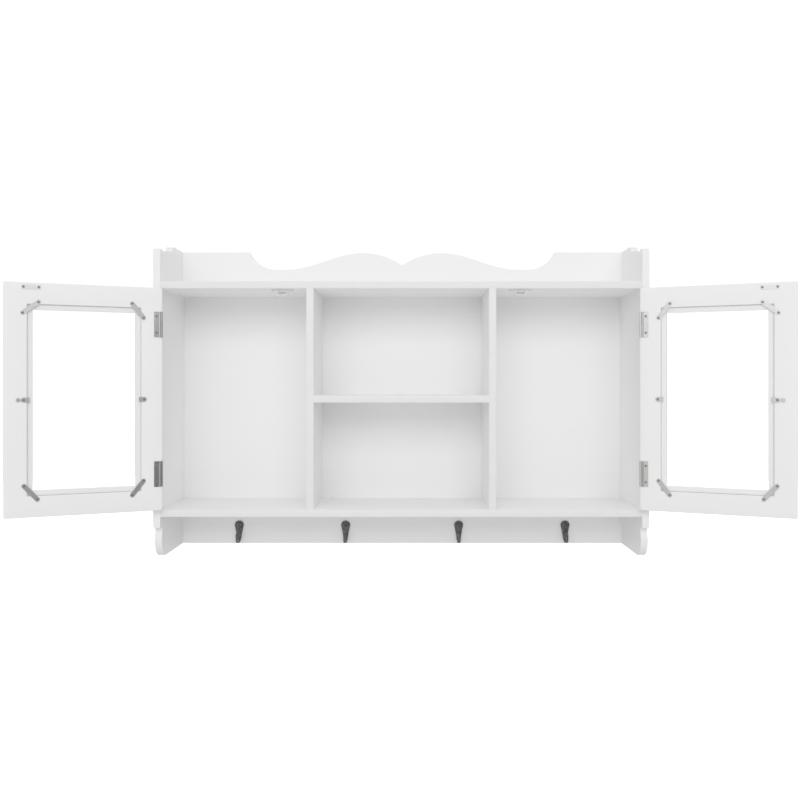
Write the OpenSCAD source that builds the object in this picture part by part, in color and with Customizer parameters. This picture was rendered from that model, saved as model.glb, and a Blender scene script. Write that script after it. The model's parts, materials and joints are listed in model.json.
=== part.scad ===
// Hanging wall cabinet: two glazed doors, an open centre with one shelf, a shaped crown board above and
// a rail with four coat hooks below. The origin is midway between the two wall hangers, on the wall plane.
// X runs to the right, Y towards the wall and Z up. The doors are drawn standing open.

/* [Carcass] */
// Overall width
body_w = 1040; // [1000:10:1080]
// Overall depth, from the front edges to the wall
body_d = 200; // [190:5:230]
// Thickness of the boards
board_t = 15; // [15:1:18]
// Clear height between the top and bottom panels
opening_h = 464; // [440:4:500]
// Height of the crown board above the top panel
crown_h = 88; // [84:2:100]
// Height of the hook rail below the bottom panel
rail_h = 88; // [84:2:100]
// Clear width of the open centre bay
centre_w = 368; // [340:4:390]
// Thickness of the back panel
back_t = 3; // [3:1:5]

/* [Crown outline] */
// Drop of the middle notch below the crown's top
notch_drop = 30; // [24:1:34]
// Distance of each hump's top from the middle
hump_x = 90; // [80:1:100]
// Drop of the humps below the crown's top
hump_drop = 1.5; // [0:0.5:4]
// Distance from the middle at which the trough begins
trough_x = 268; // [250:1:275]
// Length of the flat trough
trough_l = 20; // [10:1:30]
// Drop of the trough below the crown's top
trough_drop = 40; // [34:1:42]
// Distance from the middle at which the outer sweep ends
sweep_x = 351; // [345:1:370]

/* [Doors] */
// How far the doors stand open, in degrees from closed
door_open = 156; // [0:1:180]
// Thickness of the door frames
door_t = 15; // [15:1:18]
// Width of the stiles and rails
frame_w = 53; // [48:1:60]
// Gap beside the hinged edge of a door
hinge_gap = 3; // [3:0.5:4]
// Gap beside the free edge of a door
free_gap = 3; // [2:0.5:4]
// Gap above and below a door
end_gap = 1.5; // [1:0.5:3]
// Width of the glass rebate
rebate_w = 10.7; // [8:0.1:12]
// Thickness of the glass
glass_t = 3; // [3:0.5:4]

/* [Hinges] */
// Height of a hinge
hinge_h = 53; // [45:1:60]
// Thickness of the hinge leaves
leaf_t = 1.2; // [1:0.1:1.3]
// Radius of the hinge barrel
barrel_r = 2.9; // [2.6:0.1:2.9]
// Radius of the hinge pin
pin_r = 1.45; // [1.4:0.05:1.6]
// Width of the leaf on the back of the door
wing_w = 17; // [15:1:20]
// Distance of the hinge centres from the ends of the opening
hinge_inset = 77.5; // [70:0.5:90]

/* [Hooks] */
// Distance of the inner hooks from the middle
inner_hook_x = 130; // [100:5:160]
// Distance of the outer hooks from the middle
outer_hook_x = 375; // [340:5:400]
// Width of a hook at its widest
hook_w = 20; // [18:1:22]
// Reach of a hook from the rail
hook_reach = 26.5; // [24:0.5:32]

/* [Wall hangers] */
// Distance between the two hangers
hanger_spacing = 860; // [820:10:900]
// Radius of the hole that takes the head of the wall screw
head_hole_r = 4.5; // [4:0.25:5]

/* [Hidden] */
$fn = 48;
tiny = 0.01;

paint = "white";
zinc = "silver";
dark_metal = "dimgray";
beech = "burlywood";
plastic = "whitesmoke";
glass_tint = "lightcyan";

// Carcass levels and faces
half_w = body_w / 2;
inner_x = half_w - board_t;
front_y = -body_d;
back_y = -back_t;
crown_top = crown_h / 2;
deck_z = crown_top - crown_h;
open_top = deck_z - board_t;
open_low = open_top - opening_h;
base_z = open_low - board_t;
low_z = base_z - rail_h;
shelf_z = (open_top + open_low) / 2;
divider_x = centre_w / 2;
board_mid = board_t / 2;

// Hinge axis and door sizes, the door measured from its hinge axis
axis_x = inner_x - hinge_gap;
axis_y = front_y - 3;
door_w = inner_x - divider_x - board_t - hinge_gap - free_gap;
door_top = open_top - end_gap;
door_low = open_low + end_gap;
door_h = door_top - door_low;
door_front = 3;
door_back = door_front + door_t;
door_mid_z = (door_top + door_low) / 2;
pane_inset = frame_w - rebate_w;
rebate_d = glass_t + 0.2;
rebate_y = door_back - rebate_d;
hinge_z = [open_top - hinge_inset, open_low + hinge_inset];

// Hinge details
bore_r = pin_r + 0.05;
knuckle_h = hinge_h / 5;
knuckle_gap = 0.3;
wing_end = door_back + leaf_t;
frame_leaf_d = door_back + 0.5;
bead_x = 5.4;
bead_r = 2.4;
leaf_screw_z = 17;
wing_screw_x = 12.2;
frame_screw_y = 11;

// Screws: radius of the head, radius of the shank, length
small_screw = [2.7, 1.4, 11];
hook_screw = [3, 1.6, 14];
hanger_screw = [3, 1.6, 12];
catch_screw = [2.6, 1.4, 11];
screw_rim = 0.3;
screw_point = 2;

// Wooden dowels and cam fittings
dowel_r = 4;
dowel_l = 30;
dowel_in_side = 10;
panel_dowel_y = [front_y / 2];
divider_dowel_y = [front_y * 0.25, front_y * 0.75];
edge_dowel_x = [-330, -110, 110, 330];
edge_dowel_y = -board_mid - 1;
cam_y = [front_y * 0.2, front_y * 0.8];
cam_r = 7.5;
cam_h = 12.5;
cam_in = 34;
bolt_r = 3.5;
bolt_thread_r = 3;
bolt_thread_l = 11;
cam_slot = [8, 1.4, 2];

// Curves
function bezier(a, b, c, d, n = 10) = [for (i = [0:n])
    let (t = i / n, s = 1 - t) a * s * s * s + b * 3 * s * s * t + c * 3 * s * t * t + d * t * t * t];
function reversed(list) = [for (i = [len(list) - 1:-1:0]) list[i]];
function arc(centre, r, from, to, n = 16) = [for (i = [0:n])
    let (a = from + (to - from) * i / n) centre + r * [cos(a), sin(a)]];

// ---- Outlines ----

// Radius of a circle that rises by h over the run w, starting level
function arc_radius(w, h) = (w * w + h * h) / (2 * h);

// Right half of the crown's top edge, from the middle notch to the end of the outer sweep
function crown_half(n = 16) =
    let (
        hump_z = crown_top - hump_drop,
        trough_z = crown_top - trough_drop,
        trough_end = trough_x + trough_l,
        hump_r = arc_radius(hump_x, notch_drop - hump_drop),
        sweep_r = arc_radius(sweep_x - trough_end, trough_drop))
    concat(
        [for (i = [0:n]) let (x = hump_x * i / n)
            [x, hump_z - hump_r + sqrt(hump_r * hump_r - (hump_x - x) * (hump_x - x))]],
        [for (i = [1:n]) let (t = i / n)
            [hump_x + (trough_x - hump_x) * t, trough_z + (hump_z - trough_z) * (1 + cos(180 * t)) / 2]],
        [for (i = [0:n]) let (x = (sweep_x - trough_end) * i / n)
            [trough_end + x, trough_z + sweep_r - sqrt(sweep_r * sweep_r - x * x)]]);

function crown_outline() =
    let (half = crown_half())
    concat(
        [[-inner_x, deck_z], [inner_x, deck_z], [inner_x, crown_top]],
        reversed(half),
        [for (i = [1:len(half) - 1]) [-half[i][0], half[i][1]]],
        [[-inner_x, crown_top]]);

// Side panel seen from the side, as depth and height: a bead, a slope and a rise above, a ledge and a belly below
ledge_z = low_z + 65;
ledge_y = front_y + 15;
dip_y = front_y + 22;
dip_z = crown_top - 23;
rise_y = front_y + 94;
rise_h = 12;
function side_outline() = concat(
    [[0, low_z], [0, crown_top]],
    bezier([rise_y + 20, crown_top], [rise_y + 8, crown_top], [rise_y, crown_top - 4],
        [rise_y, crown_top - rise_h]),
    bezier([rise_y - tiny, crown_top - rise_h], [rise_y - 26, crown_top - rise_h - 3],
        [dip_y + 18, dip_z + 5], [dip_y, dip_z]),
    bezier([dip_y - tiny, dip_z], [dip_y - 7, dip_z + 6], [front_y + 0.5, dip_z + 7.5],
        [front_y, dip_z - 4], 8),
    [[front_y, ledge_z]],
    bezier([ledge_y, ledge_z], [ledge_y + 4, ledge_z - 16], [ledge_y - 6, ledge_z - 19],
        [ledge_y - 3, ledge_z - 33]),
    bezier([ledge_y - 3, ledge_z - 33 - tiny], [ledge_y - 1, ledge_z - 47], [ledge_y + 9, ledge_z - 61],
        [ledge_y + 27, low_z]));

// ---- Fasteners ----

// Countersunk screw, its head's face at the origin and its point along -Z
module screw(size) {
    head_r = size[0];
    shank_r = size[1];
    length = size[2];
    taper_end = shank_r - head_r - screw_rim;
    rotate_extrude()
        polygon([
            [0, 0], [head_r, 0], [head_r, -screw_rim],
            [shank_r, taper_end], [shank_r, screw_point - length], [0, -length]]);
}

// The same screw driven upwards
module screw_up(size) rotate([180, 0, 0]) screw(size);

module dowel_x(x, y, z) translate([x, y, z]) rotate([0, 90, 0]) cylinder(r = dowel_r, h = dowel_l);
module dowel_z(x, y, z) translate([x, y, z]) cylinder(r = dowel_r, h = dowel_l);

// Dowels between the side panels and the four boards that run across, on both sides
module side_dowels() {
    end_x = inner_x + dowel_in_side - dowel_l;
    for (m = [0, 1]) mirror([m, 0, 0]) {
        for (y = panel_dowel_y, z = [deck_z - board_mid, base_z + board_mid]) dowel_x(end_x, y, z);
        for (part = [0.2, 0.8], z = [deck_z + crown_h * part, low_z + rail_h * part])
            dowel_x(end_x, -board_mid, z);
    }
}

module divider_dowels()
    for (x = [-divider_x - board_mid, divider_x + board_mid], y = divider_dowel_y) {
        dowel_z(x, y, open_top + dowel_in_side - dowel_l);
        dowel_z(x, y, open_low - dowel_in_side);
    }

module shelf_dowels()
    for (y = divider_dowel_y) {
        dowel_x(divider_x + dowel_in_side - dowel_l, y, shelf_z);
        dowel_x(-divider_x - dowel_in_side, y, shelf_z);
    }

// Dowels between the crown board and the top panel, and between the bottom panel and the hook rail
module edge_dowels()
    for (x = edge_dowel_x) {
        dowel_z(x, edge_dowel_y, deck_z - dowel_in_side);
        dowel_z(x, edge_dowel_y, base_z + dowel_in_side - dowel_l);
    }

// Cam fittings at the ends of the top and bottom panels, their faces out of sight from the front
module at_cams()
    for (m = [0, 1], y = cam_y) mirror([m, 0, 0]) {
        translate([inner_x - cam_in, y, deck_z]) mirror([0, 0, 1]) children();
        translate([inner_x - cam_in, y, base_z]) children();
    }

module cam_space() cylinder(r = cam_r, h = cam_h);

// Bolt from the middle of the cam through the board's end into the side panel
module cam_bolt() translate([0, 0, board_mid]) rotate([0, 90, 0]) {
    cylinder(r = bolt_r, h = cam_in);
    translate([0, 0, cam_in]) cylinder(r = bolt_thread_r, h = bolt_thread_l);
}

module cam_lock() difference() {
    cam_space();
    cam_bolt();
    for (a = [45, 135]) rotate(a) translate([-cam_slot[0] / 2, -cam_slot[1] / 2, -tiny]) cube(cam_slot);
}

// Nails that hold the back panel to every board behind it
nail_head_r = 2;
nail_head_t = 0.6;
nail_r = 0.7;
nail_l = 18;
nail_pitch = 150;
shelf_nail_x = 110;
module nail() {
    translate([0, 0, -nail_head_t]) cylinder(r = nail_head_r, h = nail_head_t);
    translate([0, 0, -nail_l]) cylinder(r = nail_r, h = nail_l - nail_head_t + tiny);
}

module nails() {
    for (i = [-3:3], z = [deck_z - board_mid, base_z + board_mid]) nail_at(i * nail_pitch, z);
    for (x = [-divider_x - board_mid, divider_x + board_mid], i = [1, 2, 4, 5])
        nail_at(x, open_low + opening_h * i / 6);
    for (x = [-shelf_nail_x, 0, shelf_nail_x]) nail_at(x, shelf_z);
}

module nail_at(x, z) translate([x, 0, z]) rotate([-90, 0, 0]) nail();

// ---- Wall hangers ----

hanger_w = 46;
hanger_h = 24;
hanger_t = 1.5;
hanger_slot = 9;
hanger_slot_r = 2.25;
hanger_low = -9;
hanger_screw_x = 17.5;
cavity_d = 9;

module at_hangers() for (x = [-hanger_spacing / 2, hanger_spacing / 2]) translate([x, 0, 0]) children();

module at_hanger_screws() for (x = [-hanger_screw_x, hanger_screw_x])
    translate([x, 0, hanger_low + hanger_h / 2]) rotate([-90, 0, 0]) children();

module round_slot(r, length, depth) rotate([90, 0, 0]) {
    cylinder(r = r, h = depth);
    translate([0, length, 0]) cylinder(r = r, h = depth);
    translate([-r, 0, 0]) cube([2 * r, length, depth]);
}

module hanger_blank() translate([-hanger_w / 2, -hanger_t, hanger_low]) cube([hanger_w, hanger_t, hanger_h]);

module hanger_plate() difference() {
    hanger_blank();
    translate([0, 1, 0]) rotate([90, 0, 0]) cylinder(r = head_hole_r, h = hanger_t + 2);
    translate([0, 1, 0]) round_slot(hanger_slot_r, hanger_slot, hanger_t + 2);
    at_hanger_screws() screw(hanger_screw);
}

// ---- Carcass ----

module side_panel() difference() {
    translate([-half_w, 0, 0]) rotate([90, 0, 90]) linear_extrude(board_t) polygon(side_outline());
    side_dowels();
    at_cams() cam_bolt();
    at_left_axis() for (z = hinge_z) translate([0, 0, z]) frame_leaf_screws_at() screw(small_screw);
}

module left_side_panel() color(paint) side_panel();
module right_side_panel() color(paint) mirror([1, 0, 0]) side_panel();

module across(z, depth_from, depth_to, x = inner_x, h = board_t)
    translate([-x, depth_from, z]) cube([2 * x, depth_to - depth_from, h]);

module top_panel() color(paint) difference() {
    across(open_top, front_y, back_y);
    side_dowels();
    divider_dowels();
    edge_dowels();
    at_cams() cam_space();
    at_cams() cam_bolt();
    nails();
    at_catches() at_catch_screws() screw_up(catch_screw);
}

module bottom_panel() color(paint) difference() {
    across(base_z, front_y, back_y);
    side_dowels();
    divider_dowels();
    edge_dowels();
    at_cams() cam_space();
    at_cams() cam_bolt();
    nails();
}

module divider() difference() {
    translate([divider_x, front_y, open_low]) cube([board_t, back_y - front_y, opening_h]);
    divider_dowels();
    shelf_dowels();
    nails();
}

module left_divider() color(paint) mirror([1, 0, 0]) divider();
module right_divider() color(paint) divider();

module middle_shelf() color(paint) difference() {
    across(shelf_z - board_mid, front_y, back_y, divider_x);
    shelf_dowels();
    nails();
}

module back_panel() color(paint) difference() {
    across(base_z, back_y, 0, inner_x, deck_z - base_z);
    nails();
}

module crown_board() color(paint) difference() {
    rotate([90, 0, 0]) linear_extrude(board_t) polygon(crown_outline());
    side_dowels();
    edge_dowels();
    at_hangers() {
        hanger_blank();
        round_slot(head_hole_r + 1, hanger_slot, hanger_t + cavity_d);
        at_hanger_screws() screw(hanger_screw);
    }
}

module hook_rail() color(paint) difference() {
    across(low_z, -board_t, 0, inner_x, rail_h);
    side_dowels();
    edge_dowels();
    at_hooks() at_hook_screws() screw(hook_screw);
}

module carcass_dowels() color(beech) {
    side_dowels();
    divider_dowels();
    shelf_dowels();
    edge_dowels();
}

module cam_locks() color(zinc) at_cams() cam_lock();
module cam_bolts() color(zinc) at_cams() cam_bolt();
module back_panel_nails() color(zinc) nails();
module wall_hangers() color(zinc) at_hangers() hanger_plate();
module hanger_screws() color(zinc) at_hangers() at_hanger_screws() screw(hanger_screw);

// ---- Coat hooks ----

hook_plate_t = 3.5;
hook_top = base_z - 35;
hook_head_r = hook_w / 2;
hook_curl_r = 10.5;
hook_arm_t = 5;
hook_curl_z = low_z + hook_curl_r + hook_arm_t / 2 + 2;
hook_curl_y = hook_reach - hook_curl_r - hook_arm_t / 2;
hook_tip_z = hook_curl_z + 9;
hook_tip_r = 3;
hook_belly_r = 7.2;
hook_belly_z = hook_curl_z + 4;
hook_foot_r = 4.2;
hook_foot_z = low_z + 2 + hook_foot_r;
hook_screw_z = [hook_top - 7, hook_top - 21];

module at_hooks()
    for (x = [-outer_hook_x, -inner_hook_x, inner_hook_x, outer_hook_x])
        translate([x, -board_t, 0]) children();

module at_hook_screws() for (z = hook_screw_z)
    translate([0, -hook_plate_t, z]) rotate([90, 0, 0]) children();

// Hook seen from the side, as reach from the rail and height: the plate, the curl and the arm with its tip
function hook_side() =
    let (
        curl = [hook_curl_y, hook_curl_z],
        tip = [hook_reach - hook_arm_t / 2, hook_tip_z])
    concat(
        [[0, hook_curl_z + 4], [0, hook_top], [hook_plate_t, hook_top], [hook_plate_t, hook_curl_z + 10]],
        arc(curl, hook_curl_r - hook_arm_t / 2, 180, 360),
        arc(tip, hook_tip_r, 200, -20),
        arc(curl, hook_curl_r + hook_arm_t / 2, 360, 180));

// Right half of the hook seen from the front: a round head that narrows to a belly and a small round foot
function hook_half() = concat(
    arc([0, hook_top - hook_head_r], hook_head_r, 90, -15),
    arc([0, hook_belly_z], hook_belly_r, 25, -35, 6),
    arc([0, hook_foot_z], hook_foot_r, -10, -90, 8));

function hook_front() =
    let (half = hook_half(), last = len(half) - 1)
    concat(half, [for (i = [last - 1:-1:1]) [-half[i][0], half[i][1]]]);

module coat_hook(x) color(dark_metal) translate([x, -board_t, 0]) difference() {
    intersection() {
        translate([hook_w, 0, 0]) rotate([90, 0, -90]) linear_extrude(2 * hook_w) polygon(hook_side());
        rotate([90, 0, 0]) linear_extrude(hook_reach + 5) polygon(hook_front());
    }
    at_hook_screws() screw(hook_screw);
}

module coat_hook_1() coat_hook(-outer_hook_x);
module coat_hook_2() coat_hook(-inner_hook_x);
module coat_hook_3() coat_hook(inner_hook_x);
module coat_hook_4() coat_hook(outer_hook_x);
module hook_screws() color(dark_metal) at_hooks() at_hook_screws() screw(hook_screw);

// ---- Magnetic catches ----

strike_x = door_w - 50;
strike_z = door_top - 9;
strike_t = 1.2;
catch_x = axis_x - strike_x;
catch_front = axis_y + door_back + strike_t + 0.8;
catch_w = 22;
catch_h = 13;
catch_d = 14;
tab_w = 48;
tab_t = 2;
tab_screw_x = 20;
magnet = [18, 8, 4];
pole_t = 1.2;
pole_proud = 0.6;
magnet_z = strike_z + 2;

module at_catches() for (m = [0, 1]) mirror([m, 0, 0]) translate([-catch_x, catch_front, 0]) children();

module at_catch_screws() for (x = [-tab_screw_x, tab_screw_x])
    translate([x, catch_d / 2, open_top - tab_t]) children();

module magnet_block() translate([-magnet[0] / 2, pole_proud, magnet_z - magnet[2] / 2]) cube(magnet);

module poles() for (z = [magnet_z - magnet[2] / 2 - pole_t, magnet_z + magnet[2] / 2])
    translate([-magnet[0] / 2, -pole_proud, z]) cube([magnet[0], magnet[1] + 2 * pole_proud, pole_t]);

module catch_case() color(plastic) at_left_catch() difference() {
    union() {
        translate([-catch_w / 2, 0, open_top - catch_h]) cube([catch_w, catch_d, catch_h]);
        translate([-tab_w / 2, 2, open_top - tab_t]) cube([tab_w, catch_d - 4, tab_t]);
    }
    magnet_block();
    translate([-magnet[0] / 2, -1, magnet_z - magnet[2] / 2]) cube([magnet[0], 2, magnet[2]]);
    poles();
    at_catch_screws() screw_up(catch_screw);
}

module at_left_catch() translate([-catch_x, catch_front, 0]) children();
module left_catch_case() catch_case();
module right_catch_case() mirror([1, 0, 0]) catch_case();
module catch_magnets() color(dark_metal) at_catches() magnet_block();
module catch_pole_plates() color(zinc) at_catches() poles();
module catch_screws() color(zinc) at_catches() at_catch_screws() screw_up(catch_screw);

// ---- Hinges ----
// Measured from the hinge axis: X along the closed door, Y towards the back of the cabinet

module at_left_axis() translate([-axis_x, axis_y, 0]) children();
module at_right_axis() mirror([1, 0, 0]) at_left_axis() children();

// Knuckles of one leaf, from the lowest, by number
module knuckles(numbers) for (i = numbers)
    translate([0, 0, (i - 2.5) * knuckle_h + knuckle_gap / 2])
        cylinder(r = barrel_r, h = knuckle_h - knuckle_gap);

// Room for the other leaf's knuckles
module knuckle_room(numbers) for (i = numbers)
    translate([0, 0, (i - 2.5) * knuckle_h - knuckle_gap / 2])
        cylinder(r = barrel_r + 0.4, h = knuckle_h + knuckle_gap);

module pin_bore() translate([0, 0, -hinge_h]) cylinder(r = bore_r, h = 2 * hinge_h);

module frame_leaf_screws_at() for (z = [-leaf_screw_z, leaf_screw_z])
    translate([leaf_t - hinge_gap, frame_screw_y, z]) rotate([0, 90, 0]) children();

module door_leaf_screws_at() for (z = [-leaf_screw_z, leaf_screw_z])
    translate([wing_screw_x, wing_end, z]) rotate([-90, 0, 0]) children();

module frame_leaf(z) color(zinc) translate([0, 0, z]) difference() {
    union() {
        difference() {
            translate([-hinge_gap, 0, -hinge_h / 2]) cube([leaf_t, frame_leaf_d, hinge_h]);
            knuckle_room([1, 3]);
        }
        knuckles([0, 2, 4]);
    }
    pin_bore();
    frame_leaf_screws_at() screw(small_screw);
}

// Leaf that wraps round the hinged edge of the door, with a pressed bead along the part on the back
module door_leaf(z) color(zinc) translate([0, 0, z]) difference() {
    union() {
        difference() {
            translate([0, 0, -hinge_h / 2]) linear_extrude(hinge_h) {
                translate([-leaf_t, 0]) square([leaf_t, door_back]);
                intersection() {
                    translate([0, door_back]) circle(r = leaf_t);
                    translate([-leaf_t, door_back]) square([leaf_t, leaf_t]);
                }
                translate([0, door_back]) square([wing_w, leaf_t]);
                intersection() {
                    translate([bead_x, door_back]) circle(r = bead_r);
                    translate([0, door_back]) square([2 * bead_x, bead_r]);
                }
            }
            knuckle_room([0, 2, 4]);
        }
        knuckles([1, 3]);
    }
    pin_bore();
    door_leaf_screws_at() screw(small_screw);
}

// Pin with a small head at each end
pin_l = hinge_h + 0.4;
pin_head_r = 2.4;
pin_tip_r = 1.4;
module hinge_pin() {
    translate([0, 0, -pin_l / 2]) cylinder(r = pin_r, h = pin_l);
    for (m = [0, 1]) mirror([0, 0, m]) translate([0, 0, pin_l / 2]) {
        cylinder(r = pin_head_r, h = 0.8);
        translate([0, 0, 0.8]) cylinder(r1 = pin_head_r, r2 = pin_tip_r, h = 0.9);
    }
}

module left_upper_frame_leaf() at_left_axis() frame_leaf(hinge_z[0]);
module left_lower_frame_leaf() at_left_axis() frame_leaf(hinge_z[1]);
module right_upper_frame_leaf() at_right_axis() frame_leaf(hinge_z[0]);
module right_lower_frame_leaf() at_right_axis() frame_leaf(hinge_z[1]);

module at_all_hinges() for (m = [0, 1], z = hinge_z)
    mirror([m, 0, 0]) at_left_axis() translate([0, 0, z]) children();

module hinge_pins() color(zinc) at_all_hinges() hinge_pin();
module frame_leaf_screws() color(zinc) at_all_hinges() frame_leaf_screws_at() screw(small_screw);

// ---- Doors ----
// Each piece is drawn for a closed left door measured from its hinge axis, then swung open

module on_left_door() at_left_axis() rotate(-door_open) children();
module on_right_door() mirror([1, 0, 0]) on_left_door() children();

glass_inset = pane_inset + 0.6;
rail_dowel_l = 40;
rail_dowel_r = 3;
rail_dowel_in = [17, 28];
clip_t = 1.2;
clip_w = 9;
clip_screw_gap = 36;
clip_inset = 49;
side_clip_w = 10;
side_clip_screw = 36.5;
side_clip_reach = 47;
knob_x = door_w - 26.5;
knob_screw_r = 2;
knob_screw_in = 11;
knob_screw_head_r = 4.2;
knob_screw_head_h = 2.4;

module rebate() translate([pane_inset, rebate_y, door_low + pane_inset])
    cube([door_w - 2 * pane_inset, rebate_d + 1, door_h - 2 * pane_inset]);

module rail_dowels()
    for (x = [frame_w, door_w - frame_w], inset = rail_dowel_in, z = [door_top - inset, door_low + inset])
        translate([x - rail_dowel_l / 2, door_front + door_t * 0.45, z])
            rotate([0, 90, 0]) cylinder(r = rail_dowel_r, h = rail_dowel_l);

module door_board(x, w, z, h) difference() {
    translate([x, door_front, z]) cube([w, door_t, h]);
    rebate();
    rail_dowels();
    door_screws_shape();
    translate([knob_x, 0, door_mid_z]) rotate([-90, 0, 0]) cylinder(r = knob_screw_r, h = 2 * door_back);
}

module hinge_stile() color(paint) door_board(0, frame_w, door_low, door_h);
module knob_stile() color(paint) door_board(door_w - frame_w, frame_w, door_low, door_h);
module top_rail() color(paint) door_board(frame_w, door_w - 2 * frame_w, door_top - frame_w, frame_w);
module bottom_rail() color(paint) door_board(frame_w, door_w - 2 * frame_w, door_low, frame_w);
module frame_dowels() color(beech) rail_dowels();

module glass() color(glass_tint, 0.4) translate([glass_inset, rebate_y, door_low + glass_inset])
    cube([door_w - 2 * glass_inset, glass_t, door_h - 2 * glass_inset]);

// The four window corners, each turned so that +X runs along its clip: place along the door, height, turn
clip_places = [
    [clip_inset, door_top - clip_inset, -52],
    [door_w - clip_inset, door_top - clip_inset, 37],
    [door_w - clip_inset, door_low + clip_inset, -48],
    [clip_inset, door_low + clip_inset, 52]];

module at_corner_clips() for (place = clip_places)
    translate([place[0], door_back, place[1]]) rotate([0, place[2], 0]) children();

module at_clip_screws() for (x = [-clip_screw_gap / 2, clip_screw_gap / 2])
    translate([x, clip_t, 0]) rotate([-90, 0, 0]) children();

module strip(l, w, t) rotate([-90, 0, 0]) {
    translate([-l / 2, -w / 2, 0]) cube([l, w, t]);
    for (x = [-l / 2, l / 2]) translate([x, 0, 0]) cylinder(r = w / 2, h = t);
}

module corner_clips() color(zinc) at_corner_clips() difference() {
    strip(clip_screw_gap, clip_w, clip_t);
    at_clip_screws() screw(small_screw);
}

// Small clips at half height, one on each stile, each with a tongue over the glass
module at_side_clips() {
    translate([side_clip_screw, door_back, door_mid_z]) children();
    translate([door_w - side_clip_screw, door_back, door_mid_z]) mirror([1, 0, 0]) children();
}

module side_clip_screw_at() translate([0, clip_t, 0]) rotate([-90, 0, 0]) children();

module side_clips() color(zinc) at_side_clips() difference() {
    rotate([-90, 0, 0]) {
        cylinder(r = side_clip_w / 2, h = clip_t);
        translate([0, -side_clip_w / 2, 0]) cube([side_clip_reach - side_clip_screw, side_clip_w, clip_t]);
    }
    side_clip_screw_at() screw(small_screw);
}

strike_w = 36;
strike_h = 9;
strike_screw_x = 14;
module at_strike() translate([strike_x, door_back, strike_z]) children();
module at_strike_screws() for (x = [-strike_screw_x, strike_screw_x])
    translate([x, strike_t, 0]) rotate([-90, 0, 0]) children();

module strike_plate() color(zinc) at_strike() difference() {
    translate([-strike_w / 2, 0, -strike_h / 2]) cube([strike_w, strike_t, strike_h]);
    at_strike_screws() screw(small_screw);
}

// Every wood screw on the back of one door
module door_screws_shape() {
    for (z = hinge_z) translate([0, 0, z]) door_leaf_screws_at() screw(small_screw);
    at_corner_clips() at_clip_screws() screw(small_screw);
    at_side_clips() side_clip_screw_at() screw(small_screw);
    at_strike() at_strike_screws() screw(small_screw);
}

module door_screws() color(zinc) door_screws_shape();

// Round turned knob: foot, neck and domed head
knob_l = 24;
knob_foot = [8, 2.5];
knob_neck_r = 5;
knob_head_r = 12.5;
knob_dome_r = 15;
knob_rim_z = knob_l - 12;
module knob() color(dark_metal) translate([knob_x, door_front, door_mid_z]) rotate([90, 0, 0]) difference() {
    rotate_extrude() {
        square(knob_foot);
        square([knob_neck_r, knob_rim_z]);
        intersection() {
            translate([0, knob_l - knob_dome_r]) circle(r = knob_dome_r);
            translate([0, knob_rim_z]) square([knob_head_r, knob_l - knob_rim_z]);
        }
        polygon([
            [0, knob_rim_z - 3], [knob_neck_r, knob_rim_z - 3],
            [knob_head_r, knob_rim_z], [0, knob_rim_z + tiny]]);
    }
    translate([0, 0, -1]) cylinder(r = knob_screw_r, h = knob_screw_in + 1);
}

module knob_screw() color(zinc) translate([knob_x, door_back, door_mid_z]) rotate([-90, 0, 0]) {
    cylinder(r = knob_screw_head_r, h = knob_screw_head_h);
    translate([0, 0, -door_t - knob_screw_in]) cylinder(r = knob_screw_r, h = door_t + knob_screw_in);
}

module left_hinge_stile() on_left_door() hinge_stile();
module left_knob_stile() on_left_door() knob_stile();
module left_top_rail() on_left_door() top_rail();
module left_bottom_rail() on_left_door() bottom_rail();
module left_frame_dowels() on_left_door() frame_dowels();
module left_glass() on_left_door() glass();
module left_corner_clips() on_left_door() corner_clips();
module left_side_clips() on_left_door() side_clips();
module left_door_screws() on_left_door() door_screws();
module left_knob() on_left_door() knob();
module left_knob_screw() on_left_door() knob_screw();
module left_strike_plate() on_left_door() strike_plate();
module left_upper_door_leaf() on_left_door() door_leaf(hinge_z[0]);
module left_lower_door_leaf() on_left_door() door_leaf(hinge_z[1]);

module right_hinge_stile() on_right_door() hinge_stile();
module right_knob_stile() on_right_door() knob_stile();
module right_top_rail() on_right_door() top_rail();
module right_bottom_rail() on_right_door() bottom_rail();
module right_frame_dowels() on_right_door() frame_dowels();
module right_glass() on_right_door() glass();
module right_corner_clips() on_right_door() corner_clips();
module right_side_clips() on_right_door() side_clips();
module right_door_screws() on_right_door() door_screws();
module right_knob() on_right_door() knob();
module right_knob_screw() on_right_door() knob_screw();
module right_strike_plate() on_right_door() strike_plate();
module right_upper_door_leaf() on_right_door() door_leaf(hinge_z[0]);
module right_lower_door_leaf() on_right_door() door_leaf(hinge_z[1]);

left_side_panel();
right_side_panel();
top_panel();
bottom_panel();
left_divider();
right_divider();
middle_shelf();
back_panel();
crown_board();
hook_rail();
carcass_dowels();
cam_locks();
cam_bolts();
back_panel_nails();
wall_hangers();
hanger_screws();
coat_hook_1();
coat_hook_2();
coat_hook_3();
coat_hook_4();
hook_screws();
left_catch_case();
right_catch_case();
catch_magnets();
catch_pole_plates();
catch_screws();
left_upper_frame_leaf();
left_lower_frame_leaf();
right_upper_frame_leaf();
right_lower_frame_leaf();
hinge_pins();
frame_leaf_screws();
left_hinge_stile();
left_knob_stile();
left_top_rail();
left_bottom_rail();
left_frame_dowels();
left_glass();
left_corner_clips();
left_side_clips();
left_door_screws();
left_knob();
left_knob_screw();
left_strike_plate();
left_upper_door_leaf();
left_lower_door_leaf();
right_hinge_stile();
right_knob_stile();
right_top_rail();
right_bottom_rail();
right_frame_dowels();
right_glass();
right_corner_clips();
right_side_clips();
right_door_screws();
right_knob();
right_knob_screw();
right_strike_plate();
right_upper_door_leaf();
right_lower_door_leaf();
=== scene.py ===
"""Hanging wall cabinet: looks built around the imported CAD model, in metres and in the same frame."""

import json
import math

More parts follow.
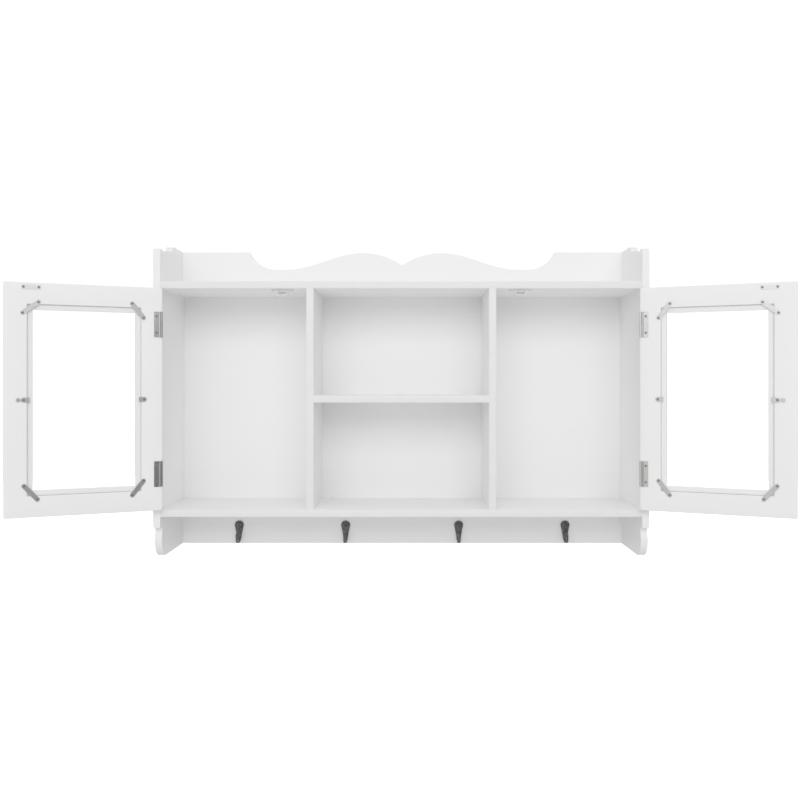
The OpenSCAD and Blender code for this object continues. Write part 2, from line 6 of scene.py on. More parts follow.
import bmesh
import bpy
import numpy as np
from mathutils import Matrix, Vector


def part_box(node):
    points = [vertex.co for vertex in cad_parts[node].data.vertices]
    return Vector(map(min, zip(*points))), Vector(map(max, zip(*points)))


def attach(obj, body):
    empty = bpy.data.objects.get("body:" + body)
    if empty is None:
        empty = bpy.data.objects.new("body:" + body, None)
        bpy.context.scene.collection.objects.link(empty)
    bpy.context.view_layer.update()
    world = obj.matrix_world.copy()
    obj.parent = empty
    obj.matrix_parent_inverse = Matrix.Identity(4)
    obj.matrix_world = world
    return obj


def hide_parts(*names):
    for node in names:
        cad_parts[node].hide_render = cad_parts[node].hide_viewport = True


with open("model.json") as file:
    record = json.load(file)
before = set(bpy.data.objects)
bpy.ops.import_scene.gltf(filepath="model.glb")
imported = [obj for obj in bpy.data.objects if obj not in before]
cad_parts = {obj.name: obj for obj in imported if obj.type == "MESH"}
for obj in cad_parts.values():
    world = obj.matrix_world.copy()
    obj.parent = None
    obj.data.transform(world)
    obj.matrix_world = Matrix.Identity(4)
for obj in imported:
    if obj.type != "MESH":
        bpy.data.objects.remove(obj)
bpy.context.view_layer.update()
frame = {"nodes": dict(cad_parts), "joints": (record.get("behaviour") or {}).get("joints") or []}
NODES = frame["nodes"]
MM = 0.001

# ---------------------------------------------------------------- sizes, in millimetres
BOARD = 15.0
CAM_HOLE_R = 7.8
DOOR_OPEN = math.radians(156)
DOOR_W, DOOR_LOW, DOOR_HIGH = 300.0, -521.5, -60.5
DOOR_FRONT, DOOR_BACK = 3.0, 18.0
FRAME_W = 53.0
REBATE_W = 10.7
REBATE_Y = 14.8
PANE_GAP = 0.6
KNOB_X, KNOB_Z = DOOR_W - FRAME_W / 2, (DOOR_LOW + DOOR_HIGH) / 2
HOOK_PLATE = 3.5
DOORS = {-1: "left", 1: "right"}


# ---------------------------------------------------------------- node material helpers
class Look:
    """A principled material, with short calls for the textures that drive it."""

    def __init__(self, name, **sockets):
        self.mat = bpy.data.materials.new(name)
        self.mat.use_nodes = True
        self.tree = self.mat.node_tree
        self.bsdf = self.tree.nodes["Principled BSDF"]
        self.coord = self.tree.nodes.new("ShaderNodeTexCoord")
        for key, value in sockets.items():
            self.bsdf.inputs[key.replace("_", " ")].default_value = value

    def add(self, kind, **values):
        """A new node, with values for its sockets or, where it has no socket of that name, its settings."""
        node = self.tree.nodes.new(kind)
        for key, value in values.items():
            socket = node.inputs.get(key.replace("_", " "))
            if socket is None:
                setattr(node, key, value)
            else:
                socket.default_value = value
        return node

    def link(self, out, socket):
        self.tree.links.new(out, socket)

    def noise(self, scale, stretch=(1, 1, 1), detail=3.0, rough=0.55):
        """Noise in the object's own place; a stretch below 1 draws it out along that axis."""
        place = self.add("ShaderNodeMapping", Scale=stretch)
        self.link(self.coord.outputs["Object"], place.inputs["Vector"])
        tex = self.add("ShaderNodeTexNoise", Scale=scale, Detail=detail, Roughness=rough)
        self.link(place.outputs[0], tex.inputs["Vector"])
        return tex.outputs["Fac"]

    def ramp(self, fac, stops):
        """The colour at fac between stops, each a place and a colour."""
        node = self.add("ShaderNodeValToRGB")
        band = node.color_ramp
        while len(band.elements) < len(stops):
            band.elements.new(0.5)
        for element, (place, colour) in zip(band.elements, stops):
            element.position = place
            element.color = (*colour, 1)
        self.link(fac, node.inputs["Fac"])
        return node.outputs["Color"]

    def colour(self, fac, *stops):
        self.link(self.ramp(fac, stops), self.bsdf.inputs["Base Color"])

    def roughness(self, fac, low, high):
        node = self.add("ShaderNodeMapRange", From_Min=0.3, From_Max=0.7, To_Min=low, To_Max=high)
        self.link(fac, node.inputs["Value"])
        self.link(node.outputs["Result"], self.bsdf.inputs["Roughness"])

    def bump(self, *layers):
        """Bumps from (height, distance in metres, strength), one on the other."""
        normal = None
        for height, distance, strength in layers:
            node = self.add("ShaderNodeBump", Distance=distance, Strength=strength)
            self.link(height, node.inputs["Height"])
            if normal:
                self.link(normal, node.inputs["Normal"])
            normal = node.outputs["Normal"]
        self.link(normal, self.bsdf.inputs["Normal"])


# Colour steps: a place on the noise and its colour
WHITE = (0.3, (0.945, 0.945, 0.942)), (0.7, (0.964, 0.964, 0.962))


def make_white_paint():
    look = Look("white_paint", Specular_IOR_Level=0.3, Coat_Weight=0.05, Coat_Roughness=0.3)
    look.colour(look.noise(3.2, detail=4), *WHITE)
    look.roughness(look.noise(28, detail=5), 0.44, 0.54)
    look.bump((look.noise(14, detail=2), 0.002, 0.06), (look.noise(420, detail=2), 0.0002, 0.16))
    return look.mat


def make_edge_painted_shade():
    """The white paint a little darker: painted shade for the boards' front faces."""
    look = Look("edge_painted_shade", Specular_IOR_Level=0.3)
    cut = look.noise(180, (0.2, 1, 0.2), detail=5)
    look.colour(cut, (0.3, (0.845, 0.845, 0.842)), (0.7, (0.875, 0.875, 0.872)))
    look.roughness(cut, 0.5, 0.6)
    look.bump((cut, 0.0002, 0.12))
    return look.mat


def make_back_board():
    look = Look("back_board", Specular_IOR_Level=0.4)
    grain = look.noise(9, (1, 1, 22), detail=6)
    look.colour(grain, *WHITE)
    look.roughness(look.noise(60, (1, 1, 6), detail=4), 0.42, 0.55)
    look.bump((grain, 0.0004, 0.12), (look.noise(700, detail=2), 0.0001, 0.2))
    return look.mat


def make_dowel_beech():
    look = Look("dowel_beech", Specular_IOR_Level=0.3)
    grain = look.noise(160, (0.12, 1, 0.12), detail=6)
    look.colour(grain, (0.25, (0.50, 0.33, 0.19)), (0.6, (0.66, 0.47, 0.29)), (0.9, (0.72, 0.54, 0.36)))
    look.roughness(grain, 0.5, 0.68)
    look.bump((grain, 0.0003, 0.35))
    return look.mat


def make_glass():
    """Clear glass that lets diffuse and shadow rays straight through, so that what is behind it is lit evenly."""
    look = Look("glass", Transmission_Weight=1.0, IOR=1.45, Specular_IOR_Level=0.5)
    smear = look.noise(9, (1, 1, 2.5), detail=5)
    look.colour(smear, (0.3, (0.985, 0.988, 0.986)), (0.7, (0.995, 0.997, 0.996)))
    look.roughness(smear, 0.0, 0.008)
    rays = look.add("ShaderNodeLightPath")
    surface = look.bsdf
    for kind in ("Is Diffuse Ray", "Is Shadow Ray"):
        clear = look.add("ShaderNodeBsdfTransparent")
        clear.inputs["Color"].default_value = (0.965, 0.967, 0.966, 1)
        either = look.add("ShaderNodeMixShader")
        look.link(rays.outputs[kind], either.inputs[0])
        look.link(surface.outputs[0], either.inputs[1])
        look.link(clear.outputs[0], either.inputs[2])
        surface = either
    look.link(surface.outputs[0], look.tree.nodes["Material Output"].inputs["Surface"])
    return look.mat


def make_ground_edge():
    """The ground rim of a glass pane."""
    look = Look("ground_edge", Specular_IOR_Level=0.3)
    chips = look.noise(500, detail=4)
    look.colour(chips, (0.3, (0.54, 0.55, 0.545)), (0.7, (0.64, 0.65, 0.645)))
    look.roughness(chips, 0.5, 0.7)
    look.bump((chips, 0.0001, 0.3))
    return look.mat


def make_plated_steel():
    look = Look("plated_steel", Metallic=1.0, Specular_IOR_Level=0.5)
    patch = look.noise(55, detail=6)
    look.colour(patch, (0.3, (0.46, 0.456, 0.446)), (0.7, (0.53, 0.526, 0.515)))
    brush = look.noise(900, (1, 1, 0.06), detail=3)
    look.roughness(brush, 0.34, 0.44)
    look.bump((brush, 0.00003, 0.12), (patch, 0.0001, 0.06))
    return look.mat


def make_hinge_steel():
    look = Look("hinge_steel", Metallic=1.0)
    patch = look.noise(55, detail=6)
    look.colour(patch, (0.3, (0.48, 0.476, 0.467)), (0.7, (0.54, 0.536, 0.527)))
    brush = look.noise(900, (1, 1, 0.06), detail=3)
    look.roughness(brush, 0.27, 0.33)
    look.bump((brush, 0.00003, 0.04), (patch, 0.0001, 0.03))
    return look.mat


def make_screw_steel():
    look = Look("screw_steel", Metallic=1.0)
    patch = look.noise(420, detail=4)
    look.colour(patch, (0.3, (0.17, 0.168, 0.163)), (0.7, (0.24, 0.238, 0.23)))
    look.roughness(patch, 0.34, 0.48)
    look.bump((patch, 0.0001, 0.15))
    return look.mat


def make_pale_steel():
    look = Look("pale_steel", Metallic=1.0)
    patch = look.noise(70, detail=5)
    look.colour(patch, (0.3, (0.76, 0.758, 0.75)), (0.7, (0.82, 0.818, 0.81)))
    look.roughness(patch, 0.56, 0.68)
    look.bump((look.noise(900, (1, 1, 0.06), detail=3), 0.00003, 0.12))
    return look.mat


def make_cam_zinc():
    look = Look("cam_zinc", Metallic=1.0)
    cast = look.noise(620, detail=5)
    look.colour(cast, (0.3, (0.42, 0.42, 0.42)), (0.7, (0.55, 0.55, 0.545)))
    look.roughness(cast, 0.38, 0.55)
    look.bump((cast, 0.0002, 0.4))
    return look.mat


def make_dark_metal():
    look = Look("dark_metal", Metallic=0.85, Specular_IOR_Level=0.5)
    mottle = look.noise(240, detail=6, rough=0.65)
    look.colour(mottle, (0.35, (0.024, 0.024, 0.025)), (0.52, (0.08, 0.08, 0.082)), (0.7, (0.19, 0.188, 0.184)))
    look.roughness(mottle, 0.36, 0.55)
    look.bump((mottle, 0.0003, 0.35), (look.noise(1400, detail=2), 0.0001, 0.25))
    return look.mat


def make_catch_plastic():
    look = Look("catch_plastic", Specular_IOR_Level=0.5, Subsurface_Weight=0.15, Subsurface_Scale=0.002)
    cloud = look.noise(90, detail=4)
    look.colour(cloud, (0.3, (0.80, 0.80, 0.785)), (0.7, (0.85, 0.85, 0.84)))
    look.roughness(cloud, 0.28, 0.38)
    look.bump((look.noise(900, detail=2), 0.0001, 0.15))
    return look.mat


def make_magnet():
    look = Look("magnet", Specular_IOR_Level=0.3)
    grit = look.noise(1100, detail=4)
    look.colour(grit, (0.3, (0.42, 0.42, 0.425)), (0.7, (0.52, 0.52, 0.525)))
    look.roughness(grit, 0.5, 0.7)
    look.bump((grit, 0.0002, 0.4))
    return look.mat


MATERIALS = {
    "white_paint": make_white_paint(),
    # The boards' front faces get a darker copy of the white paint, painted shade
    "edge_painted_shade": make_edge_painted_shade(),
    "back_board": make_back_board(),
    "dowel_beech": make_dowel_beech(),
    "glass": make_glass(),
    "ground_edge": make_ground_edge(),
    "plated_steel": make_plated_steel(),
    "hinge_steel": make_hinge_steel(),
    "screw_steel": make_screw_steel(),
    "pale_steel": make_pale_steel(),
    "cam_zinc": make_cam_zinc(),
    "dark_metal": make_dark_metal(),
    "catch_plastic": make_catch_plastic(),
    "magnet": make_magnet(),
}


# ---------------------------------------------------------------- mesh helpers
def new_piece(name, bm, slot, body, replaces, smooth_angle=35, look=None):
    """A mesh object from bm that rides on body, with edges sharper than smooth_angle kept sharp.

    Its material is look, or its slot's own where look is None.
    """
    bmesh.ops.remove_doubles(bm, verts=bm.verts, dist=1e-7)
    bmesh.ops.recalc_face_normals(bm, faces=bm.faces)
    limit = math.radians(smooth_angle)
    for face in bm.faces:
        face.smooth = True
    for edge in bm.edges:
        edge.smooth = edge.is_manifold and edge.calc_face_angle(math.pi) < limit
    mesh = bpy.data.meshes.new(name)
    bm.to_mesh(mesh)
    bm.free()
    mesh.materials.append(MATERIALS[look or slot])
    obj = bpy.data.objects.new(name, mesh)
    bpy.context.scene.collection.objects.link(obj)
    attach(obj, body)
    if replaces:
        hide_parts(*replaces)
    return obj


def loft(bm, rings, closed=False):
    """Faces between rings of points that run the same way. Open ends are capped; closed joins last to first."""
    rows = [[bm.verts.new(p) for p in ring] for ring in rings]
    n = len(rows[0])
    pairs = list(zip(rows, rows[1:])) + ([(rows[-1], rows[0])] if closed else [])
    for low, high in pairs:
        for i in range(n):
            j = (i + 1) % n
            bm.faces.new((low[i], low[j], high[j], high[i]))
    if not closed:
        bm.faces.new(rows[0][::-1])
        bm.faces.new(rows[-1])


def rounded(points, radius, steps=3):
    """A closed outline with each corner turned into an arc. radius has a number for each corner, 0 for sharp."""
    out = []
    n = len(points)
    for i in range(n):
        p, r = np.array(points[i], float), radius[i]
        a, b = np.array(points[i - 1], float) - p, np.array(points[(i + 1) % n], float) - p
        a, b = a / np.linalg.norm(a), b / np.linalg.norm(b)
        if r == 0:
            out.append(tuple(p))
            continue
        start, end = p + a * r, p + b * r
        middle = p + (a + b) * r
        for k in range(steps + 1):
            t = math.pi / 2 * k / steps
            out.append(tuple(middle + (start - middle) * math.cos(t) + (end - middle) * math.sin(t)))
    return out


def door_outline(inset, radius, steps):
    """The closed door's outline, moved in by inset, as places across and heights."""
    left, right = inset, DOOR_W - inset
    low, high = DOOR_LOW + inset, DOOR_HIGH - inset
    return rounded([(left, low), (right, low), (right, high), (left, high)], [radius] * 4, steps)


def door_matrix(side):
    """From the closed door, in millimetres from its hinge axis, to the door standing open. side is -1 or 1."""
    joint = next(j for j in frame["joints"] if j["child"] == DOORS[side] + "_door")
    place = Matrix.Translation(Vector(joint["pos_m"]))
    place.translation.z = 0
    mirror = Matrix.Diagonal((-side, 1, 1, 1))
    return place @ mirror @ Matrix.Rotation(-DOOR_OPEN, 4, "Z") @ Matrix.Diagonal((MM, MM, MM, 1))


def screw_mesh(bm, matrix, head_r, shank_r, length, dome, recess):
    """A cross-recessed screw: the head's rim at the origin, the point along -Z and a crown dome high."""
    sides = 24
    arm_half, arm_reach, arm_end = 0.17, 0.6, 0.75
    rows = []
    for share in (0.16, 0.32, 0.46, 0.58, 0.72, 0.88, 1.0):
        row = []
        for i in range(sides):
            a = 2 * math.pi * i / sides
            x, y = share * head_r * math.cos(a), share * head_r * math.sin(a)
            z = dome * (1 - share ** 2)
            arm = min(abs(x), abs(y))
            if arm < arm_half * head_r and share < arm_reach:
                z -= recess * (1 - share / arm_end)
            row.append((x, y, z))
        rows.append(row)
    rim, point, point_r = 0.25, 2.0, 0.12
    neck = -rim - (head_r - shank_r)
    for r, z in ((head_r, -rim), (shank_r, neck), (shank_r, point - length), (point_r, -length)):
        rows.append([(r * math.cos(2 * math.pi * i / sides), r * math.sin(2 * math.pi * i / sides), z)
                     for i in range(sides)])
    verts = [[bm.verts.new(matrix @ Vector(p)) for p in row] for row in rows]
    top = bm.verts.new(matrix @ Vector((0, 0, dome - recess)))
    for i in range(sides):
        j = (i + 1) % sides
        bm.faces.new((top, verts[0][i], verts[0][j]))
        for low, high in zip(verts, verts[1:]):
            bm.faces.new((low[i], high[i], high[j], low[j]))
    bm.faces.new(verts[-1])


def solids(node):
    """The points of each separate solid of a CAD node."""
    bm = bmesh.new()
    bm.from_mesh(NODES[node].data)
    bmesh.ops.remove_doubles(bm, verts=bm.verts, dist=1e-6)
    seen, found = set(), []
    for first in bm.verts:
        if first in seen:
            continue
        group, queue = [], [first]
        seen.add(first)
        while queue:
            vert = queue.pop()
            group.append(vert.co.copy())
            for edge in vert.link_edges:
                other = edge.other_vert(vert)
                if other not in seen:
                    seen.add(other)
                    queue.append(other)
        found.append(np.array(group))
    bm.free()
    return found


def screw_places(node):
    """Each screw of a CAD node: its head's middle, the way it faces, and its radius and length in millimetres."""
    places = []
    for points in solids(node):
        middle = points.mean(0)
        axis = np.linalg.svd(points - middle, full_matrices=False)[2][0]
        along = (points - middle) @ axis
        across = np.linalg.norm(points - middle - np.outer(along, axis), axis=1)
        if across[along > np.median(along)].max() < across[along < np.median(along)].max():
            axis, along = -axis, -along
        off = points - np.outer(along, axis)
        centre = (off.max(0) + off.min(0)) / 2
        head = centre + axis * along.max()
        places.append((Vector(head), Vector(axis), across.max() / MM, (along.max() - along.min()) / MM))
    return places


def facing(axis, spin):
    """A turn that takes +Z to axis, with the recess turned by spin."""
    return axis.to_track_quat("Z", "Y").to_matrix().to_4x4() @ Matrix.Rotation(spin, 4, "Z")


def screws(node, slot, body, shank_r, dome, recess):
    """Detailed screws in the places of a CAD node's solids, each turned a little further than the last."""
    bm = bmesh.new()
    for i, (head, axis, head_r, length) in enumerate(screw_places(node)):
        place = Matrix.Translation(head) @ facing(axis, 0.4 + 1.9 * i) @ Matrix.Diagonal((MM, MM, MM, 1))
        screw_mesh(bm, place, head_r, shank_r, length, dome, recess)
    look = "screw_steel" if slot == "plated_steel" else slot
    new_piece(node + "_detail", bm, slot, body, [node], 40, look)


# ---------------------------------------------------------------- boards
def drilled(bm, node, radius, low, high):
    """bm with a round hole round each solid of node whose middle is between the corners low and high."""
    cutter = bmesh.new()
    for points in solids(node):
        middle = Vector((points.max(0) + points.min(0)) / 2)
        if all(low[k] < middle[k] < high[k] for k in range(3)):
            bmesh.ops.create_cone(cutter, cap_ends=True, segments=48, radius1=radius, radius2=radius,
                                  depth=(points[:, 2].max() - points[:, 2].min()) + 0.4 * MM,
                                  matrix=Matrix.Translation(middle))
    objects = []
    for source in (bm, cutter):
        mesh = bpy.data.meshes.new("cut")
        source.to_mesh(mesh)
        source.free()
        objects.append(bpy.data.objects.new("cut", mesh))
        bpy.context.scene.collection.objects.link(objects[-1])
    solid, tool = objects
    cut = solid.modifiers.new("cut", "BOOLEAN")
    cut.operation, cut.solver, cut.object = "DIFFERENCE", "EXACT", tool
    bpy.context.view_layer.update()
    result = bmesh.new()
    result.from_mesh(solid.evaluated_get(bpy.context.evaluated_depsgraph_get()).to_mesh())
    for obj in objects:
        mesh = obj.data
        bpy.data.objects.remove(obj)
        bpy.data.meshes.remove(mesh)
    return result


def board(node, slot="white_paint", edge=0.8, cams=False, back=0.0, shade_front=True):
    """A board with its edges eased.

    cams: drilled for the cam locks. back: how far its back is set in. The last flag gives its front faces the
    darker edge paint, painted shade.
    """
    low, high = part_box(node)
    high = high - Vector((0, back * MM, 0))
    bm = bmesh.new()
    bmesh.ops.create_cube(bm, size=1, matrix=Matrix.Translation((low + high) / 2)
                          @ Matrix.Diagonal((*(high - low), 1)))
    bmesh.ops.bevel(bm, geom=bm.edges[:], offset=edge * MM, segments=3, profile=0.5, affect="EDGES")
    if cams:
        bm = drilled(bm, "cam_locks", CAM_HOLE_R * MM, low, high)
    bm.normal_update()
    for face in bm.faces:
        # Faces that look forward get the darker copy of the paint: painted shade on the front edges
        face.material_index = int(shade_front and face.normal.y < -0.95)
    piece = new_piece(node + "_board", bm, slot, "carcass", [node], 40)
    if shade_front:
        piece.data.materials.append(MATERIALS["edge_painted_shade"])


# ---------------------------------------------------------------- doors
def door_frame(side, name):
    """The painted door frame as one seamless ring, with the glass rebate in its back."""
    pane = FRAME_W - REBATE_W
    edge, small_edge, corner_r, window_r = 2.0, 0.5, 3.2, 1.0
    corners = [(0, DOOR_FRONT), (0, DOOR_BACK), (pane, DOOR_BACK), (pane, REBATE_Y), (FRAME_W, REBATE_Y),
               (FRAME_W, DOOR_FRONT)]
    section = rounded(corners, [edge, edge, small_edge, 0, small_edge, edge], 5)
    rings = []
    for inset, y in section:
        if inset <= edge:
            r = corner_r - inset
        else:
            r = window_r + (FRAME_W if inset > pane + 1 else pane) - inset
        rings.append([door_matrix(side) @ Vector((x, y, z)) for x, z in door_outline(inset, r, 4)])
    bm = bmesh.new()
    loft(bm, rings, closed=True)
    boards = ["hinge_stile", "knob_stile", "top_rail", "bottom_rail"]
    new_piece(name + "_door_frame", bm, "white_paint", name + "_door", [f"{name}_{b}" for b in boards], 30)


def glass_pane(side, name):
    """A pane with ground edges, lying on the rebate with a hair of air under it."""
    inset = FRAME_W - REBATE_W + PANE_GAP
    front, back, ground, corner_r = REBATE_Y + 0.06, DOOR_BACK - 0.2, 0.35, 0.8
    rings = []
    for y, grow in ((front, ground), (front + ground, 0), (back - ground, 0), (back, ground)):
        outline = door_outline(inset + grow, corner_r, 3)
        rings.append([door_matrix(side) @ Vector((x, y, z)) for x, z in outline])
    bm = bmesh.new()
    loft(bm, rings)
    # The rim is all quads; the two faces have many corners
    for face in bm.faces:
        face.material_index = int(len(face.verts) == 4)
    pane = new_piece(name + "_pane", bm, "glass", name + "_door", [name + "_glass"], 20)
    pane.data.materials.append(MATERIALS["ground_edge"])


def lathe(bm, matrix, profile, sides=40):
    """A turned solid from (radius, height) points, the first and last of them on the axis."""
    rows = [[bm.verts.new(matrix @ Vector((r * math.cos(2 * math.pi * i / sides),
                                           r * math.sin(2 * math.pi * i / sides), z)))
             for i in range(sides)] for r, z in profile[1:-1]]
    ends = [bm.verts.new(matrix @ Vector((0, 0, profile[k][1]))) for k in (0, -1)]
    for i in range(sides):
        j = (i + 1) % sides
        bm.faces.new((ends[0], rows[0][i], rows[0][j]))
        bm.faces.new((ends[1], rows[-1][j], rows[-1][i]))
        for low, high in zip(rows, rows[1:]):
            bm.faces.new((low[i], high[i], high[j], low[j]))


def knob(side, name):
    """A turned knob: a foot, a waist and a domed head, as radius and height."""
    place = Matrix.Translation((KNOB_X, DOOR_FRONT, KNOB_Z)) @ Matrix.Rotation(math.pi / 2, 4, "X")
    dome_r, dome_z = 15, 9
    profile = [(0, 0), (7.6, 0), (8.0, 0.4), (8.0, 1.9), (7.5, 2.4), (5.9, 2.8), (5.1, 3.6), (4.8, 5.2),
               (4.75, 7.0), (5.1, 8.6), (6.4, 9.9), (9.6, 11.0), (11.8, 11.9), (12.45, 12.9), (12.5, 14.0),
               (12.35, 15.6)]
    profile += [(dome_r * math.sin(a), dome_z + dome_r * math.cos(a))
                for a in np.radians([54, 47, 40, 32, 24, 16, 8])]
    profile.append((0, dome_z + dome_r))
    bm = bmesh.new()
    lathe(bm, door_matrix(side) @ place, profile)
    new_piece(name + "_knob_turned", bm, "dark_metal", name + "_door", [name + "_knob"], 50)


# ---------------------------------------------------------------- coat hooks
def coat_hook(index, node):
    """A cast hook: a round-headed plate that narrows, curls forward and rises to a rounded tip.

    Its stations are a point and a direction, both as reach and height, a half width and a half thickness.
    """
    low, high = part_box(node)
    x = (low.x + high.x) / 2 / MM
    top, face = high.z / MM, -BOARD
    head_r, curl_r, arm = 10.9, 10.5, 5.0
    foot_half, foot_thicker, foot_above_curl = 6.1, 0.55, 4
    curl_half, curl_waist, curl_widens, curl_thick = 5.9, 2.1, 0.6, 2.35
    tip_lean = 0.05
    curl_d = (high.y - low.y) / MM - curl_r - arm / 2
    curl_z = low.z / MM + curl_r + arm / 2
    stations = []
    for a in np.radians([14, 26, 38, 50, 62, 74, 90]):
        stations.append(((HOOK_PLATE / 2, top - head_r + head_r * math.cos(a)), (0, -1), head_r * math.sin(a),
                         HOOK_PLATE / 2 * min(1, 0.62 + 0.4 * math.sin(a))))
    plate_end = curl_z + foot_above_curl
    start = top - head_r
    for t in (0.12, 0.25, 0.4, 0.55, 0.7, 0.85, 1.0):
        z = start + (plate_end - start) * t
        half = head_r + (foot_half - head_r) * (t ** 0.8)
        thick = HOOK_PLATE / 2 + foot_thicker * t * t
        stations.append(((thick, z), (0, -1), half, thick))
    for a in np.radians([192, 208, 224, 240, 255, 270, 285, 300, 316, 332, 348]):
        t = (a - math.pi) / math.pi
        point = (curl_d + curl_r * math.cos(a), curl_z + curl_r * math.sin(a))
        half = curl_half - curl_waist * math.sin(min(t, 0.5) * math.pi) + max(t - 0.5, 0) * curl_widens
        stations.append((point, (-math.sin(a), math.cos(a)), half, curl_thick))
    tip_d = curl_d + curl_r
    for z, half, thick in ((2.0, 4.0, 2.4), (5.0, 4.15, 2.7), (8.0, 4.2, 2.95),
                           (10.0, 3.9, 2.8), (11.2, 3.1, 2.2), (11.9, 1.9, 1.3)):
        stations.append(((tip_d - tip_lean * z, curl_z + z), (0, 1), half, thick))
    rings = []
    sides, squareness = 20, 0.72
    for (d, z), (td, tz), half, thick in stations:
        ring = []
        for i in range(sides):
            a = 2 * math.pi * i / sides
            c, s = math.cos(a), math.sin(a)
            u = half * math.copysign(abs(c) ** squareness, c)
            v = thick * math.copysign(abs(s) ** squareness, s)
            ring.append(Vector((x + u, face - (d + v * tz), z - v * td)) * MM)
        rings.append(ring)
    bm = bmesh.new()
    loft(bm, rings)
    piece = new_piece(f"cast_hook_{index}", bm, "dark_metal", "carcass", [node], 180)
    smooth = piece.modifiers.new("smooth", "SUBSURF")
    smooth.levels = smooth.render_levels = 2


# ---------------------------------------------------------------- carried-over CAD nodes
def finish_node(node, look, bevel, segments=2):
    """Material on a CAD node, and a small round on its edges, bevel millimetres wide."""
    obj = NODES[node]
    obj.data.materials.clear()
    obj.data.materials.append(MATERIALS[look])
    if bevel:
        weld = obj.modifiers.new("weld", "WELD")
        weld.merge_threshold = 1e-6
        flat = obj.modifiers.new("flat", "DECIMATE")
        flat.decimate_type = "DISSOLVE"
        flat.angle_limit = math.radians(0.5)
        edge = obj.modifiers.new("edge_round", "BEVEL")
        edge.width = bevel * MM
        edge.segments = segments
        edge.limit_method = "ANGLE"
        edge.angle_limit = math.radians(35)
        even = obj.modifiers.new("even_shading", "WEIGHTED_NORMAL")
        even.weight = 100


for node in ("left_side_panel", "right_side_panel", "crown_board"):
    finish_node(node, "white_paint", 0.8, 3)
finish_node("carcass_dowels", "dowel_beech", 0.4)
finish_node("cam_locks", "cam_zinc", 0.25)
finish_node("cam_bolts", "cam_zinc", 0.3)
finish_node("back_panel_nails", "plated_steel", 0.12)
finish_node("wall_hangers", "plated_steel", 0.25)
finish_node("catch_magnets", "magnet", 0.2)
finish_node("catch_pole_plates", "plated_steel", 0.2)
finish_node("hinge_pins", "plated_steel", 0.2)
for name in DOORS.values():
    finish_node(name + "_catch_case", "catch_plastic", 0.5, 3)
    finish_node(name + "_frame_dowels", "dowel_beech", 0.4)
    finish_node(name + "_corner_clips", "plated_steel", 0.3)
    finish_node(name + "_side_clips", "plated_steel", 0.3)
    finish_node(name + "_strike_plate", "pale_steel", 0.3)
    finish_node(name + "_knob_screw", "plated_steel", 0.8, 3)
    for level in ("upper", "lower"):
        finish_node(f"{name}_{level}_frame_leaf", "hinge_steel", 0.2)
        finish_node(f"{name}_{level}_door_leaf", "hinge_steel", 0.2)

# ---------------------------------------------------------------- new pieces
for node in ("left_divider", "right_divider", "middle_shelf"):
    board(node)
board("hook_rail", edge=0.4, shade_front=False)
for node in ("top_panel", "bottom_panel"):
    board(node, cams=True)
board("back_panel", "back_board", 0.3, back=0.25, shade_front=False)
for side, name in DOORS.items():
    door_frame(side, name)
    glass_pane(side, name)
    knob(side, name)
    screws(name + "_door_screws", "plated_steel", name + "_door", shank_r=1.4, dome=0.35, recess=1.1)
for index in (1, 2, 3, 4):
    coat_hook(index, f"coat_hook_{index}")
screws("hook_screws", "dark_metal", "carcass", shank_r=1.6, dome=0.7, recess=1.3)
screws("hanger_screws", "plated_steel", "carcass", shank_r=1.6, dome=0.0, recess=1.1)
screws("catch_screws", "plated_steel", "carcass", shank_r=1.4, dome=0.35, recess=1.0)
screws("frame_leaf_screws", "plated_steel", "carcass", shank_r=1.4, dome=0.25, recess=1.0)

# ---------------------------------------------------------------- floor, light and camera
FLOOR_Z, FLOOR_R = -1.35, 9.0
floor_bm = bmesh.new()
bmesh.ops.create_circle(floor_bm, cap_ends=True, segments=96, radius=FLOOR_R,
                        matrix=Matrix.Translation((0, 0, FLOOR_Z)))
floor_mesh = bpy.data.meshes.new("floor")
floor_bm.to_mesh(floor_mesh)
floor_bm.free()
floor = bpy.data.objects.new("floor", floor_mesh)
bpy.context.scene.collection.objects.link(floor)
floor_look = Look("pale_floor", Roughness=0.9, Specular_IOR_Level=0.0,
                  Emission_Color=(1, 1, 1, 1), Emission_Strength=0.95)
floor_look.colour(floor_look.noise(0.6), (0.3, (0.90, 0.90, 0.90)), (0.7, (0.92, 0.92, 0.92)))
floor_mesh.materials.append(floor_look.mat)
floor.visible_diffuse = False
floor.visible_glossy = False

world = bpy.data.worlds.new("studio")
bpy.context.scene.world = world
world.use_nodes = True
sky = world.node_tree
background = sky.nodes["Background"]
background.inputs["Color"].default_value = (1, 1, 1, 1)
direction = sky.nodes.new("ShaderNodeTexCoord")


def glow(toward, start, end, low, high):
    """A number that goes from low to high as a direction turns to face toward."""
    dot = sky.nodes.new("ShaderNodeVectorMath")
    dot.operation = "DOT_PRODUCT"
    dot.inputs[1].default_value = Vector(toward).normalized()
    ease = sky.nodes.new("ShaderNodeMapRange")
    ease.interpolation_type = "SMOOTHSTEP"
    for key, value in zip(("From Min", "From Max", "To Min", "To Max"), (start, end, low, high)):
        ease.inputs[key].default_value = value
    sky.links.new(direction.outputs["Generated"], dot.inputs[0])
    sky.links.new(dot.outputs["Value"], ease.inputs["Value"])
    return ease.outputs["Result"]


def combine(operation, a, b):
    """The result of one Math node on two outputs."""
    node = sky.nodes.new("ShaderNodeMath")
    node.operation = operation
    sky.links.new(a, node.inputs[0])
    sky.links.new(b, node.inputs[1])
    return node.outputs[0]


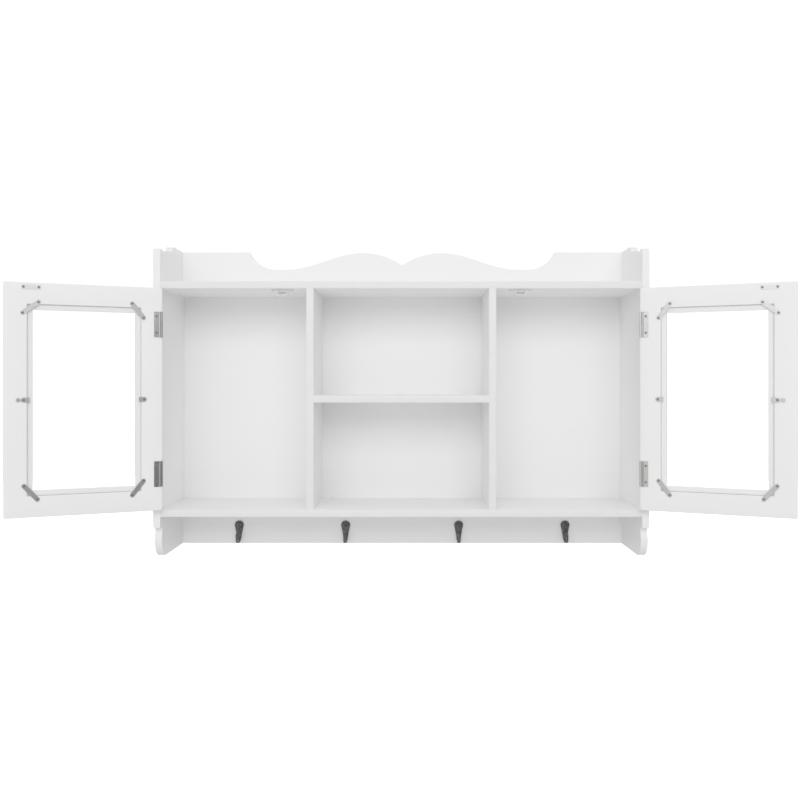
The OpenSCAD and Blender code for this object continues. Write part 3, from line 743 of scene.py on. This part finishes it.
# A pale room: bright above, brighter below and behind the wall, duller to both sides below. Metal also sees a dark
# corner to the camera's right and a window to its left; the camera, straight or through glass, sees only white.
room = combine("MAXIMUM", glow((0, 0, 1), -0.05, 0.3, 0.16, 0.55), glow((0, 0, -1), -0.05, 0.3, 0.0, 0.72))
seen = sky.nodes.new("ShaderNodeLightPath")
corner = combine("MAXIMUM", glow((0.5, -0.86, -0.03), 0.84, 0.965, 1.0, 0.06), seen.outputs["Is Diffuse Ray"])
room = combine("MULTIPLY", room, corner)
room = combine("MAXIMUM", room, glow((-0.5, -0.86, 0.06), 0.97, 0.99, 0.0, 0.95))
room = combine("MAXIMUM", room, glow((0, 1, 0), 0.35, 0.75, 0.0, 1.0))
for side in (-1, 1):
    room = combine("MULTIPLY", room, glow((side, 0, -0.5), 0.5, 0.9, 1.0, 0.3))
for ray in ("Is Camera Ray", "Is Transmission Ray"):
    room = combine("MAXIMUM", room, seen.outputs[ray])
sky.links.new(room, background.inputs["Strength"])

LIGHT_PLACE, LIGHT_TARGET = Vector((0.0, -3.4, 1.0)), Vector((0, 0, -0.3))
light_data = bpy.data.lights.new("front_high", "AREA")
light_data.shape = "RECTANGLE"
light_data.size, light_data.size_y = 3.0, 1.4
light_data.energy = 36
softbox = bpy.data.objects.new("front_high", light_data)
softbox.location = LIGHT_PLACE
softbox.rotation_euler = (LIGHT_TARGET - LIGHT_PLACE).to_track_quat("-Z", "Y").to_euler()
bpy.context.scene.collection.objects.link(softbox)

CAMERA_PLACE = (0.02, -2.05, -0.262)
camera_data = bpy.data.cameras.new("camera")
camera_data.sensor_width = 36
camera_data.lens = 39.75
camera_data.shift_x = -0.0135
camera_data.shift_y = -0.0185
camera = bpy.data.objects.new("camera", camera_data)
camera.location = CAMERA_PLACE
camera.rotation_euler = (math.radians(90), 0, 0)
bpy.context.scene.collection.objects.link(camera)
bpy.context.scene.camera = camera
bpy.context.scene.view_settings.view_transform = "Standard"
bpy.context.scene.view_settings.gamma = 1.5
bpy.context.scene.view_settings.exposure = 0.12
